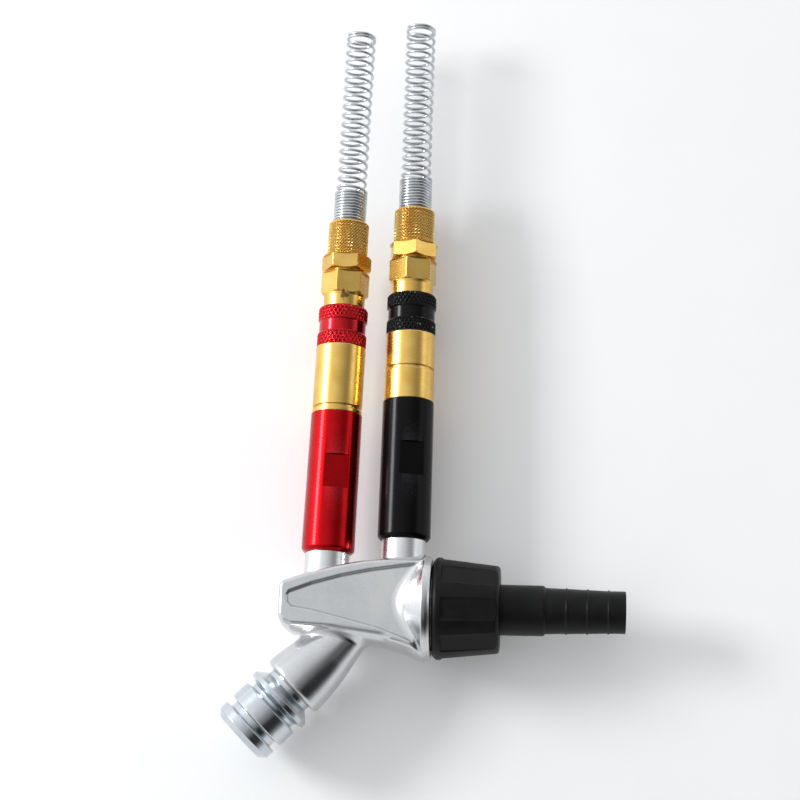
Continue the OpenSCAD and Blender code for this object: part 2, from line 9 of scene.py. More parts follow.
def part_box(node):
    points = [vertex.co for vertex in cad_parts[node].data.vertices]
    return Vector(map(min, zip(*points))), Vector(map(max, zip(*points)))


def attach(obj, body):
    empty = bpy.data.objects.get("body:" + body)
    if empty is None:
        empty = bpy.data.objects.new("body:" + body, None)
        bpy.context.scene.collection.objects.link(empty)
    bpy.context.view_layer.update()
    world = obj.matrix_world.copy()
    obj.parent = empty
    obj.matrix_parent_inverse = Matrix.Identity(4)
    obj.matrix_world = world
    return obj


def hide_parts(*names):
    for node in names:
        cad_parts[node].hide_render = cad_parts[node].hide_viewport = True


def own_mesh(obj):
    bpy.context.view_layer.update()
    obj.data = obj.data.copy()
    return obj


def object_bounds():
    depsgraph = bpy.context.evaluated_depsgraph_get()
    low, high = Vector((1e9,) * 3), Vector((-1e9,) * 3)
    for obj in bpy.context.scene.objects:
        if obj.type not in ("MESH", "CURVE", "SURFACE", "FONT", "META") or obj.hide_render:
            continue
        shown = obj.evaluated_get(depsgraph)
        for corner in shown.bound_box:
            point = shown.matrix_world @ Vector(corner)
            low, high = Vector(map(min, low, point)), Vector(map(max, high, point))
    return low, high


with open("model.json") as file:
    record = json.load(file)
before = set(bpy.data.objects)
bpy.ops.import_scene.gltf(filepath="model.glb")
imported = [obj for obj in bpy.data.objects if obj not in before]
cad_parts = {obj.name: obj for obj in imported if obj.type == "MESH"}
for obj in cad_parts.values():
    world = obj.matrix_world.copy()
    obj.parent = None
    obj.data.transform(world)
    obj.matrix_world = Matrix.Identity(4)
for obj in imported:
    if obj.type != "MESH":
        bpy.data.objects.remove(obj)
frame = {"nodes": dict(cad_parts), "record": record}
CAD_LOW, CAD_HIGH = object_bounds()
NODES = frame["nodes"]

MM = 0.001
TURN = 2 * pi

# ---- Axes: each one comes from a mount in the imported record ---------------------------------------


def axis_through(mount_name):
    """A frame whose +Z runs along a mount's axis, with its origin where that axis meets the tail's."""
    mount = next(m for m in frame["record"]["mounts"] if m["name"] == mount_name)
    along = Vector(mount["axis"]).normalized()
    origin = Vector(mount["pos_m"])
    if abs(along.y) > 1e-6:
        origin -= along * (origin.y / along.y)
    across = Vector((along.y, -along.x, 0))
    place = Matrix((across, along.cross(across), along)).transposed().to_4x4()
    place.translation = origin
    return place


TAIL = axis_through("hose_tail")
SPOUT = axis_through("spout_nose")
LINE = {"red": axis_through("red_hose_barb"), "black": axis_through("black_hose_barb")}

# The tail's stations are counted from the black line's axis, as the other ones are
TAIL.translation = Vector((LINE["black"].translation.x, 0, 0))

# ---- Sizes in millimetres ------------------------------------------------------------------------
# A single number with the same name in the part's source has the same value there, except
# NUT_FROM, which is 0.2 higher here. The check spring's wire is 0.02 thinner than there. Both
# keep meshes clear of each other.

# Casting, measured from where the black line's axis meets the tail's
CAST_HALF_T = 14.2
FLANGE_R = 24.4
FLANGE_BACK = 10.4
FLANGE_FRONT = 14.1
SPIGOT_R = 19.0
SPIGOT_END = 33.0
GALLERY_R = 9.0
GALLERY_LEN = 26
CROSS_BORE_R = 6.2
CROSS_BORE_END = 38.8

# The casting's sunk panel: its depth, and how wide its walls are at the back and elsewhere
PANEL_DEPTH = 0.9
PANEL_BACK_WALL = 2.0
PANEL_FRONT_WALL = 0.8

# The slanted side: its slope, its width in front of the band and behind it, and the band of y
# over which it narrows, which leans by SLANT_LEAN times x
SLANT = radians(60)
SLANT_W = 4.0
SLANT_END_W = 0.2
SLANT_BAND = (-7, 1)
SLANT_LEAN = 0.12

# Fillets of the casting mesh
CORNER_ROUND = 2.6
FRONT_ROUND = 3.0
ROOT_ROUND = 3.0
RIM_ROUND = 1.7
CONE_ROUND = 2.4
NECK_ROOT_ROUND = 3.4
NECK_SHOULDER_ROUND = 3.0
NECK_RIM_ROUND = 2.6
SPIGOT_ROUND = 0.8
EDGE_ROUND = 0.5
LIP_ROUND = 0.3

# Spout: its axis crosses the tail's at x = -SPOUT_OFFSET, and distances along it start there
SPOUT_OFFSET = 11.2
BORE_R = 7.0
NECK_START = 8.0
NECK_CONE_START = (12.0, 8.4)
NECK_CONE_END = 41.0
NECK_R = 15.9
NECK_END = 54.0
NOSE_SOCKET_R = 11.4
NOSE_SOCKET_START = 40
NOSE_ROOT = 43.0

# Stub and valve housing, from the housing's foot
LINE_BORE_R = 5.5
STUB_SINK = 11.0
STUB_THREAD = 7.0
STUB_THREAD_R = 8.0
STUB_R = 10.35
STUB_SOCKET = 12.2
HOUSE_LEN = 66.3
HOUSE_R1 = 12.35
HOUSE_R2 = 12.0
HOUSE_FLATS = 21.4
CHAMBER_FROM = 15
CHAMBER_R = 8.6

# Coupler, hose nut and guard, from the housing's top
BRASS_R = 11.75
GROOVE_R = 10.8
GROOVE_W = 1.4
ADAPTER_SOCKET = 12
ADAPTER_THREAD_R = 9.5
PASSAGE_R = 4.4
SOCKET_FRONT = 51.4
SLEEVE_FOOT = 32.75
SLEEVE_LEN = 19.25
SLEEVE_R = 11.7
SLEEVE_WAIST_R = 11.05
PLUG_R = 6.45
PLUG_BORE_R = 3.2
NUT_FROM = 70.3
NUT_TO = 95.2
HEX_CORNER_TRIM = 0.06
GUARD_WIRE = 1.4
GUARD_FOOT = 81
GUARD_WIRE_GAP = 0.05
GUARD_END_GAP = 0.08
GUARD_CLOSE_R = 7.95

# What differs between the lines. BASE is the housing's foot above the tail's axis
BASE = {"red": 24.5, "black": 31.2}
ADAPTER_LEN = {"red": 1.8, "black": 14.6}
GUARD_LEN = {"red": 97.7, "black": 95.2}
FLATS_TURN = {"red": radians(13.5), "black": radians(16.5)}
PLUG_TURN = {"red": radians(15.2), "black": radians(18.4)}
NUT_TURN = {"red": radians(1.4), "black": radians(-20)}

# The springs inside a line, above the housing's foot: foot and head are where the wire's middle
# starts and ends.
SPRINGS = {
    "check_spring": {"radius": 6.1, "wire": 0.98, "turns": 7, "foot": 18.5, "head": 47.2,
                     "joint": "check_lift", "fixed": "foot"},
    "sleeve_spring": {"radius": 9.85, "wire": 0.7, "turns": 4, "foot": HOUSE_LEN + 42.41,
                      "head": HOUSE_LEN + 49.49, "joint": "sleeve_push", "fixed": "head"},
}


def axis_of(place):
    """Unit vector along a place's +Z, which is the axis that a piece turns about."""
    return place.to_3x3().col[2]


# ---- Mesh building ---------------------------------------------------------------------------------


def finished_mesh(name, points, faces, place=None, sharp=38):
    """A smooth-shaded object from points in millimetres, with its hard edges marked."""
    points = np.asarray(points, float)
    if place is not None:
        turn = np.array(place.to_3x3())
        points = points @ turn.T + np.array(place.translation) / MM
    mesh = bpy.data.meshes.new(name)
    mesh.from_pydata((points * MM).tolist(), [], faces)
    mesh.validate()
    piece = bpy.data.objects.new(name, mesh)
    bpy.context.scene.collection.objects.link(piece)
    face_outward(mesh)
    mesh.shade_smooth()
    mesh.set_sharp_from_angle(angle=radians(sharp))
    return piece


def face_outward(mesh):
    """Turns a closed mesh's faces outward, by the sign of its volume."""
    mesh.calc_loop_triangles()
    corners = np.zeros(len(mesh.loop_triangles) * 3, np.int32)
    mesh.loop_triangles.foreach_get("vertices", corners)
    points = np.zeros(len(mesh.vertices) * 3)
    mesh.vertices.foreach_get("co", points)
    a, b, c = points.reshape(-1, 3)[corners.reshape(-1, 3)].transpose(1, 0, 2)
    if np.einsum("ij,ij->i", a, np.cross(b, c)).sum() < 0:
        mesh.flip_normals()


def grid_faces(rows, columns, closed_rows=True):
    """Quads of a grid whose columns close on themselves, and whose rows may."""
    faces = []
    for i in range(rows if closed_rows else rows - 1):
        k = (i + 1) % rows
        for j in range(columns):
            n = (j + 1) % columns
            faces.append((i * columns + j, i * columns + n, k * columns + n, k * columns + j))
    return faces


def softened(outline, size=0.25, steps=3):
    """Turns each corner of a closed outline into a small arc, with a support point on each side.
    A point is (radius, distance) or (radius, distance, its own arc size)."""
    result = []
    for i, point in enumerate(outline):
        here = Vector(point[:2])
        back = Vector(outline[i - 1][:2]) - here
        ahead = Vector(outline[(i + 1) % len(outline)][:2]) - here
        if min(back.length, ahead.length) < 1e-9:
            continue
        if pi - back.angle(ahead) < radians(7):
            result.append(here)
            continue
        wanted = point[2] if len(point) > 2 else size
        reach = min(wanted, 0.4 * back.length, 0.4 * ahead.length)
        start = here + back.normalized() * reach
        end = here + ahead.normalized() * reach
        if 0.45 * back.length > 1.4 * reach:
            result.append(here + back.normalized() * reach * 1.4)
        for k in range(steps + 1):
            t = k / steps
            result.append((1 - t) ** 2 * start + 2 * t * (1 - t) * here + t * t * end)
        if 0.45 * ahead.length > 1.4 * reach:
            result.append(here + ahead.normalized() * reach * 1.4)
    return [(p[0], p[1]) for p in result]


def divided(outline, longest, low, high):
    """Adds points between low and high, so that no step along the outline is longer than asked."""
    result = []
    for i, (r, s) in enumerate(outline):
        r2, s2 = outline[(i + 1) % len(outline)]
        result.append((r, s))
        if min(s, s2) > low - 1e-6 and max(s, s2) < high + 1e-6:
            count = int(hypot(r2 - r, s2 - s) / longest)
            for k in range(1, count + 1):
                t = k / (count + 1)
                result.append((r + (r2 - r) * t, s + (s2 - s) * t))
    return result


def turned(name, place, outline, shape=None, segments=144, start=0.0, sharp=38):
    """A closed outline of (radius, distance) turned about an axis. shape(r, s, angle) may change
    the radius point by point."""
    r, s = (np.array(column)[:, None] for column in zip(*outline))
    angle = start + np.arange(segments)[None, :] * TURN / segments
    r = np.repeat(r, segments, axis=1)
    if shape is not None:
        r = shape(r, s, angle)
    points = np.stack([r * np.cos(angle), r * np.sin(angle), s + 0 * angle], -1).reshape(-1, 3)
    return finished_mesh(name, points, grid_faces(len(outline), segments), place, sharp)


def coil(name, place, turns, radius_at, height_at, wire, turn_steps=36, sides=10, hand=1):
    """A round wire swept along a coil, with closed ends."""
    count = int(turns * turn_steps)
    turn = np.linspace(0, turns, count + 1)
    r, z = radius_at(turn), height_at(turn)
    angle = hand * TURN * turn
    line = np.stack([r * np.cos(angle), r * np.sin(angle), z], -1)
    along = np.gradient(line, axis=0)
    along /= np.linalg.norm(along, axis=1)[:, None]
    out = np.stack([np.cos(angle), np.sin(angle), 0 * angle], -1)
    up = np.cross(along, out)
    up /= np.linalg.norm(up, axis=1)[:, None]
    out = np.cross(up, along)
    around = np.arange(sides) * TURN / sides
    ring = (
        line[:, None, :]
        + wire / 2 * np.cos(around)[None, :, None] * out[:, None, :]
        + wire / 2 * np.sin(around)[None, :, None] * up[:, None, :]
    )
    faces = grid_faces(count + 1, sides, closed_rows=False)
    faces.append(tuple(range(sides - 1, -1, -1)))
    faces.append(tuple(count * sides + j for j in range(sides)))
    return finished_mesh(name, ring.reshape(-1, 3), faces, place, sharp=60)


# ---- Shapes that change a turned piece's radius ----------------------------------------------------


def window(s, low, high, edge):
    """1 between low and high, falling to 0 over one edge width outside them."""
    return np.clip((s - low) / edge + 1, 0, 1) * np.clip((high - s) / edge + 1, 0, 1)


def hexagon(across, low, high, turn):
    """Flattens the stretch between low and high to six sides, with a corner at the angle turn."""

    def shape(r, s, angle):
        flat = across / 2 / np.cos((angle - turn) % (pi / 3) - pi / 6)
        inside = (s > low - 1e-6) & (s < high + 1e-6) & (r > 0.42 * across)
        return np.where(inside, np.minimum(r, flat), r)

    return shape


def wrench_flats(across, low, high, turn):
    """Cuts two parallel flats between low and high."""

    def shape(r, s, angle):
        flat = across / 2 / np.maximum(np.abs(np.sin(angle - turn)), 1e-3)
        cut = np.maximum(r - flat, 0) * window(s, low, high, 0.25)
        return np.where(r > 0.4 * across, r - cut, r)

    return shape


def knurled(surface_r, bands, cells, lean, depth, land=0.3):
    """Diamond knurling: two sets of V grooves that cross, over bands of (low, high). land is the
    share of a cell that stays at full height."""
    cell_w = TURN * surface_r / cells
    cell_h = cell_w / tan(lean)

    def shape(r, s, angle):
        u = angle * surface_r / cell_w
        v = s / cell_h
        groove = np.zeros(np.broadcast(r, s, angle).shape)
        for hand in (-1, 1):
            away = np.abs((u + hand * v) % 1 - 0.5) * 2
            groove = np.maximum(groove, np.clip((away - land) / (1 - land), 0, 1))
        mask = sum(window(s, low, high, 0.3) for low, high in bands)
        return np.where(r > 0.9 * surface_r, r - depth * groove * np.clip(mask, 0, 1), r)

    return shape, cell_h


# ---- The casting: distance fields blended with fillets, then a mesh over their zero surface --------


def plane(x, y, from_point, to_point):
    """Distance outside the line from one point to the next, positive on its left-hand side."""
    dx, dy = to_point[0] - from_point[0], to_point[1] - from_point[1]
    return ((y - from_point[1]) * dx - (x - from_point[0]) * dy) / hypot(dx, dy)


def round_edge(a, b, radius):
    """What lies inside both fields, with a convex fillet where they meet."""
    corner = np.hypot(np.maximum(a + radius, 0), np.maximum(b + radius, 0))
    return np.minimum(np.maximum(a, b), -radius) + corner


def join(a, b, radius):
    """What lies inside either field, with a concave fillet where they meet."""
    return -round_edge(-a, -b, radius)


def polygon_field(x, y, outline):
    """Signed distance to a closed outline of any shape, negative inside."""
    nearest = np.full(np.broadcast(x, y).shape, 1e9)
    inside = np.zeros(nearest.shape, bool)
    for i, (x2, y2) in enumerate(outline):
        x1, y1 = outline[i - 1]
        ex, ey = x2 - x1, y2 - y1
        t = np.clip(((x - x1) * ex + (y - y1) * ey) / (ex * ex + ey * ey), 0, 1)
        nearest = np.minimum(nearest, np.hypot(x - x1 - ex * t, y - y1 - ey * t))
        crosses = (y1 > y) != (y2 > y)
        inside ^= crosses & (x < ex * (y - y1) / np.where(abs(ey) < 1e-9, 1e-9, ey) + x1)
    return np.where(inside, -nearest, nearest)


# Outlines of the flat part seen from above, anticlockwise, in the casting's own x and y
BACK_EDGE = [(14.0, 22.8), (0.0, 21.4), (-18.0, 19.6), (-30.0, 17.2), (-44.4, 13.2), (-53.6, 9.8)]
LEFT_EDGE = [(-55.7, 4.0), (-55.7, -7.4)]
FRONT_EDGE = [(-56.2, -9.4), (-50.4, -12.9), (14.0, -21.2)]
ROOT = [(10.9, 24.0), (-6, 20.0), (-6, -17.6), (0, -19.9), (6.3, -23.3), (10.9, -24.0)]
PANEL = [(12, 19.8), (0, 18.2), (-14, 16.1), (-27.6, 13.2), (-41, 9.3), (-50.6, 5.6), (-52.2, 3.2),
         (-52, -0.6), (-49.8, -2.9), (-40.6, -4.3), (-26.7, -7.6), (-10.6, -11.7), (1, -15.9),
         (12, -20.6)]
PANEL_BACK_POINTS = 6


def edge_field(x, y, points):
    """Distance outside a bulging edge whose points run anticlockwise, seen from above."""
    return np.max([-plane(x, y, a, b) for a, b in zip(points, points[1:])], axis=0)


def block_field(x, y, z):
    """The flat part: small fillets at the back and left, a slanted side in front, a sunk panel."""
    height = np.abs(z)
    plan = round_edge(edge_field(x, y, BACK_EDGE), edge_field(x, y, LEFT_EDGE), CORNER_ROUND)
    plan = round_edge(plan, edge_field(x, y, FRONT_EDGE), FRONT_ROUND)
    plan = join(plan, polygon_field(x, y, ROOT), ROOT_ROUND)
    plan = round_edge(plan, x - FLANGE_BACK, EDGE_ROUND)
    slant_w = np.interp(y - SLANT_LEAN * x, SLANT_BAND, (SLANT_W, SLANT_END_W))
    side = (plan + slant_w) * sin(SLANT) + (height - CAST_HALF_T) * cos(SLANT)
    body = round_edge(round_edge(side, height - CAST_HALF_T, RIM_ROUND), plan, RIM_ROUND)
    back_wall = -edge_field(x, y, PANEL[:PANEL_BACK_POINTS]) / PANEL_BACK_WALL
    t = np.clip(np.minimum(back_wall, -polygon_field(x, y, PANEL) / PANEL_FRONT_WALL), 0, 1)
    return np.maximum(body, height - CAST_HALF_T + PANEL_DEPTH * t * t * (3 - 2 * t))


def flange_field(x, rho):
    """The flange with the cone that rises to it from the flat part, and the union nut's spigot."""
    cone_start = (-2.4, 11.6)
    stations = [cone_start, (FLANGE_BACK, FLANGE_R), (FLANGE_FRONT - 1.6, FLANGE_R - 0.4),
                (FLANGE_FRONT, FLANGE_R - 1.5)]
    disc = rho - FLANGE_R - 1
    for start, end in zip(stations, stations[1:]):
        disc = round_edge(disc, plane(x, rho, start, end), LIP_ROUND)
    disc = round_edge(disc, x - FLANGE_FRONT, LIP_ROUND)
    spigot_ends = np.maximum(x - SPIGOT_END, FLANGE_BACK - x)
    spigot = round_edge(rho - SPIGOT_R, spigot_ends, SPIGOT_ROUND)
    return np.minimum(disc, spigot)


def neck_field(s, rho):
    """The spout's neck: a flaring cone, a plain end and a rounded rim."""
    cone = plane(s, rho, NECK_CONE_START, (NECK_CONE_END, NECK_R - 0.5))
    side = round_edge(cone, rho - NECK_R, NECK_SHOULDER_ROUND)
    return round_edge(side, np.maximum(s - NECK_END, NECK_START - s), NECK_RIM_ROUND)


def casting_field(x, y, z):
    """Distance field of the whole casting, in millimetres in the part's frame."""
    x = x - TAIL.translation.x / MM
    rho = np.hypot(y, z)
    out = axis_of(SPOUT)
    s = (x + SPOUT_OFFSET) * out.x + y * out.y
    neck_rho = np.hypot((x + SPOUT_OFFSET) * out.y - y * out.x, z)
    block = round_edge(block_field(x, y, z), rho - FLANGE_R + 0.3, EDGE_ROUND)
    solid = join(block, flange_field(x, rho), CONE_ROUND)
    solid = join(solid, neck_field(s, neck_rho), NECK_ROOT_ROUND)
    holes = [np.maximum(rho - GALLERY_R, -GALLERY_LEN - x),
             np.maximum(rho - CROSS_BORE_R, np.maximum(-CROSS_BORE_END - x, x)),
             np.maximum(neck_rho - BORE_R, -s),
             np.maximum(neck_rho - NOSE_SOCKET_R, NOSE_SOCKET_START - s)]
    for colour, place in LINE.items():
        along = axis_of(place)
        dx = x + (TAIL.translation.x - place.translation.x) / MM
        t = dx * along.x + y * along.y
        off = np.hypot(dx * along.y - y * along.x, z)
        foot = BASE[colour] - STUB_SINK
        holes += [np.maximum(off - LINE_BORE_R, -t),
                  np.maximum(off - STUB_THREAD_R - 0.05, foot - STUB_THREAD - t),
                  np.maximum(off - STUB_R - 0.1, foot - t)]
    for hole in holes:
        solid = np.maximum(solid, -hole)
    return solid


def surface_net(field, low, high, step):
    """Points and quads over a field's zero surface: one point in each grid cell that it crosses."""
    axes = [np.arange(a, b + step, step) for a, b in zip(low, high)]
    value = field(*np.meshgrid(*axes, indexing="ij", sparse=True))
    cells = np.array(value.shape) - 1
    total, count = np.zeros((*cells, 3)), np.zeros(cells)
    crossings = []
    for axis in range(3):
        a = np.take(value, range(cells[axis]), axis)
        b = np.take(value, range(1, cells[axis] + 1), axis)
        where = np.argwhere((a < 0) != (b < 0))
        before, after = a[tuple(where.T)], b[tuple(where.T)]
        spot = where.astype(float)
        spot[:, axis] += before / (before - after)
        one, two = (axis + 1) % 3, (axis + 2) % 3
        corners = []
        for back_one, back_two in ((0, 0), (1, 0), (1, 1), (0, 1)):
            cell = where.copy()
            cell[:, one] -= back_one
            cell[:, two] -= back_two
            np.add.at(total, tuple(cell.T), spot)
            np.add.at(count, tuple(cell.T), 1)
            corners.append(cell)
        crossings.append((corners, before < 0))
    used = count > 0
    index = np.full(cells, -1)
    index[used] = np.arange(used.sum())
    points = total[used] / count[used][:, None] * step + np.array(low)
    quads = []
    for corners, inside_first in crossings:
        quad = np.stack([index[tuple(cell.T)] for cell in corners], 1)
        quad[inside_first] = quad[inside_first][:, ::-1]
        quads.append(quad)
    return points, np.concatenate(quads)


def settled(points, field, rounds=2):
    """Moves points onto the field's zero surface along its slope."""
    for _ in range(rounds):
        slope = slope_of(points, field)
        steep = np.maximum((slope ** 2).sum(1), 0.25)
        points = points - slope * (field(*points.T) / steep)[:, None]
    return points


def slope_of(points, field, reach=0.05):
    """The field's slope at each point, which is its outward normal there."""
    return np.stack([(field(*(points + d).T) - field(*(points - d).T)) / (2 * reach)
                     for d in np.eye(3) * reach], -1)


def manifold_casting():
    """The casting as one mesh, with its smooth shading taken from the field itself."""
    step = 0.45
    margin = 1.3
    low, high = (np.array(v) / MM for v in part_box("manifold_body"))
    points, faces = surface_net(casting_field, low - margin, high + margin, step)
    points = np.clip(settled(points, casting_field), low, high)
    piece = finished_mesh("manifold_casting", points, faces.tolist(), sharp=180)
    normals = slope_of(points, casting_field, 0.12)
    normals /= np.maximum(np.linalg.norm(normals, axis=1), 1e-6)[:, None]
    piece.data.normals_split_custom_set_from_vertices(normals.tolist())
    return piece


# ---- Turned and moulded pieces ---------------------------------------------------------------------
# A point of an outline is (radius, distance along the axis), and may end with its own rounding.


def spout_nose():
    """The spout's end: a catch, a groove, a wide ring, a second groove and the tip's ring."""
    groove = 12.7
    ring = 15.6
    catch = 16.5
    edge = 0.35
    outline = [(BORE_R, NOSE_ROOT), (10.0, NOSE_ROOT), (11.35, 44.2), (11.35, 54.1), (11.8, 54.1),
               (11.8, 56.4, 0.5), (catch, 60.4, 0.15), (catch, 62.6, 0.15), (groove, 64.4, 0.4),
               (groove, 66.2, 0.4), (ring - edge, 66.8, 0.1), (ring, 67.2, 0.1), (ring, 75.2, 0.1),
               (ring - edge, 75.6, 0.1), (groove, 75.9, 0.4), (groove, 79.0, 0.4),
               (ring - edge, 79.3, 0.1), (ring, 79.7, 0.1), (ring, 83.4, 0.15), (12.8, 86.2, 0.4),
               (8.2, 86.2), (BORE_R, 85.0)]
    return turned("spout_nose_turned", SPOUT, softened(outline), segments=192)


def union_nut():
    """The nut between flange and tail, with flat grip recesses that run out at its narrow end."""
    low = 14.6
    high = 45.3
    shoulder = 38.8
    wide = 23.6
    narrow = 20.7
    hole = 11.9
    thread_r = 19.3
    grip_count = 8
    grip_w = 9.5
    grip_from = 19.2
    grip_turn = radians(9)
    grip_depths = (22.25, 19.9)
    grip_edge = 0.45

    def grips(r, s, angle):
        step = TURN / grip_count
        off = (angle - grip_turn + step / 2) % step - step / 2
        bottom = np.interp(s, (grip_from, high), grip_depths) / np.cos(off)
        side = window(r * np.sin(off), -grip_w / 2, grip_w / 2, grip_edge)
        cut = np.maximum(r - bottom, 0) * side * window(s, grip_from, high, grip_edge)
        return np.where(r > SPIGOT_R + 1, r - cut, r)

    outline = [(hole, shoulder), (thread_r, shoulder), (thread_r, low), (wide - 1.8, low, 0.6),
               (wide, low + 1.8, 1.2), (narrow, high - 1.6, 1.4), (narrow - 1.6, high, 1.2),
               (hole, high, 0.4)]
    outline = divided(softened(outline, steps=5), 0.45, low + 3, high - 2)
    return turned("union_nut_moulded", TAIL, outline, grips, segments=480)


def hose_tail():
    """The tapered tail: a flange inside the nut, a step, three thin ribs and a plain land."""
    flange_r = 16.8
    flange_start = 34.4
    flange_end = 38.6
    step = 66.1
    land = 96.0
    end = 102.8
    start_r = 10.6
    end_r = 9.7
    rib_h = 0.55
    rib_half_w = 0.55
    outline = [(BORE_R, flange_start), (flange_r, flange_start), (flange_r, flange_end),
               (11.7, flange_end), (11.55, 65.2, 0.4), (start_r, step, 0.3)]
    for rib in (75.7, 85.3, 94.9):
        here = start_r + (end_r - start_r) * (rib - step) / (land - step)
        outline += [(here, rib - rib_half_w, 0.15), (here + rib_h, rib, 0.3),
                    (here, rib + rib_half_w, 0.15)]
    outline += [(end_r, land), (end_r, end - 0.1, 0.4), (BORE_R, end, 0.4)]
    return turned("hose_tail_moulded", TAIL, softened(outline), segments=160)


def stub(colour):
    """The short tube between the casting and a valve housing."""
    foot = BASE[colour]
    low = foot - STUB_SINK
    outline = [(LINE_BORE_R, low - STUB_THREAD), (STUB_THREAD_R, low - STUB_THREAD),
               (STUB_THREAD_R, low), (10.4, low), (10.25, foot), (STUB_THREAD_R, foot),
               (STUB_THREAD_R, foot + STUB_SOCKET), (LINE_BORE_R, foot + STUB_SOCKET)]
    return turned(f"{colour}_stub_turned", LINE[colour], softened(outline))


def valve_housing(colour):
    """The anodised tube round the check valve, with two wrench flats."""
    foot = BASE[colour]
    flats = (29.7, 45.1)
    bore = 8.05
    thread_r = 9.55
    thread_from = HOUSE_LEN - CHAMBER_FROM
    side = [(HOUSE_R1 + (HOUSE_R2 - HOUSE_R1) * h / HOUSE_LEN, h)
            for edge in flats for h in (edge - 0.3, edge - 0.15, edge, edge + 0.15, edge + 0.3)]
    outline = [(bore, 0), (HOUSE_R1 - 1.3, 0, 0.3), (HOUSE_R1, 1.6, 0.5), *side,
               (HOUSE_R2, HOUSE_LEN, 0.45), (thread_r, HOUSE_LEN), (thread_r, thread_from),
               (CHAMBER_R, thread_from), (CHAMBER_R, CHAMBER_FROM), (LINE_BORE_R, CHAMBER_FROM),
               (LINE_BORE_R, STUB_SOCKET + 0.05), (bore, STUB_SOCKET + 0.05)]
    outline = [(r, h + foot) for r, h in softened(outline)]
    shape = wrench_flats(HOUSE_FLATS, flats[0] + foot, flats[1] + foot, FLATS_TURN[colour])
    return turned(f"{colour}_valve_housing_turned", LINE[colour], outline, shape, segments=360)


def adapter(colour):
    """The brass ring between housing and coupler, with a groove above it and a thread each way."""
    top = BASE[colour] + HOUSE_LEN
    ring = top + ADAPTER_LEN[colour]
    thread_r = 8.5
    end = ring + 6.4
    outline = [(PASSAGE_R, top - ADAPTER_SOCKET), (ADAPTER_THREAD_R, top - ADAPTER_SOCKET),
               (ADAPTER_THREAD_R, top), (BRASS_R, top), (BRASS_R, ring), (GROOVE_R, ring, 0.1),
               (GROOVE_R, ring + GROOVE_W, 0.1), (thread_r, ring + GROOVE_W), (thread_r, end),
               (PASSAGE_R, end)]
    return turned(f"{colour}_adapter_turned", LINE[colour], softened(outline), segments=160)


def coupler_socket(colour):
    """The brass socket: its outside up to the sleeve, the barrel in the sleeve, and the bore."""
    top = BASE[colour] + HOUSE_LEN
    foot = ADAPTER_LEN[colour] + GROOVE_W
    thread_r = 8.55
    thread_end = foot + 5.05
    shoulder = SLEEVE_FOOT - 0.15
    barrel = 9.2
    ring_groove = (8.7, 49.9, 50.9)
    seal_groove = (8.35, 28, 30)
    bore = 6.53
    bore_from = 23.5
    outline = [(thread_r, foot), (BRASS_R, foot, 0.35), (BRASS_R, shoulder, 0.4),
               (barrel, shoulder), (barrel, ring_groove[1], 0.1),
               (ring_groove[0], ring_groove[1], 0.1), (ring_groove[0], ring_groove[2], 0.1),
               (barrel, ring_groove[2], 0.1), (barrel, SOCKET_FRONT, 0.2),
               (bore, SOCKET_FRONT, 0.3), (bore, seal_groove[2]), (seal_groove[0], seal_groove[2]),
               (seal_groove[0], seal_groove[1]), (bore, seal_groove[1]), (bore, bore_from),
               (PASSAGE_R, bore_from), (PASSAGE_R, thread_end), (thread_r, thread_end)]
    outline = [(r, h + top) for r, h in softened(outline)]
    return turned(f"{colour}_coupler_socket_turned", LINE[colour], outline, segments=160)


def locking_sleeve(colour):
    """The sliding sleeve: two knurled bands with a plain waist, and room inside for its spring."""
    top = BASE[colour] + HOUSE_LEN
    end = SLEEVE_FOOT + SLEEVE_LEN
    waist_low = SLEEVE_FOOT + 6.5
    waist_high = SLEEVE_FOOT + 12.1
    pocket_r = 10.5
    pocket_end = 37
    land_r = 9.28
    land_end = 42
    spring_room_r = 10.35
    cells = 36
    steps_per_cell = 10
    outline = [(pocket_r, SLEEVE_FOOT), (SLEEVE_R, SLEEVE_FOOT, 0.3),
               (SLEEVE_R, waist_low - 0.7, 0.15),
               (SLEEVE_WAIST_R, waist_low, 0.3), (SLEEVE_WAIST_R, waist_high, 0.3),
               (SLEEVE_R, waist_high + 0.7, 0.15), (SLEEVE_R, end - 0.9, 0.7),
               (SLEEVE_R - 0.9, end, 0.4), (spring_room_r, end, 0.1), (spring_room_r, land_end),
               (land_r, land_end), (land_r, pocket_end), (pocket_r, pocket_end)]
    bands = ((SLEEVE_FOOT + 0.4, waist_low - 0.9), (waist_high + 0.9, end - 0.6))
    shape, cell_h = knurled(SLEEVE_R, bands, cells, lean=radians(32), depth=0.5, land=0.3)
    outline = divided(softened(outline), cell_h / 12, SLEEVE_FOOT, end)
    moved = [(r, h + top) for r, h in outline]
    return turned(f"{colour}_locking_sleeve_knurled", LINE[colour], moved,
                  lambda r, s, angle: shape(r, s - top, angle),
                  segments=cells * steps_per_cell, sharp=24)


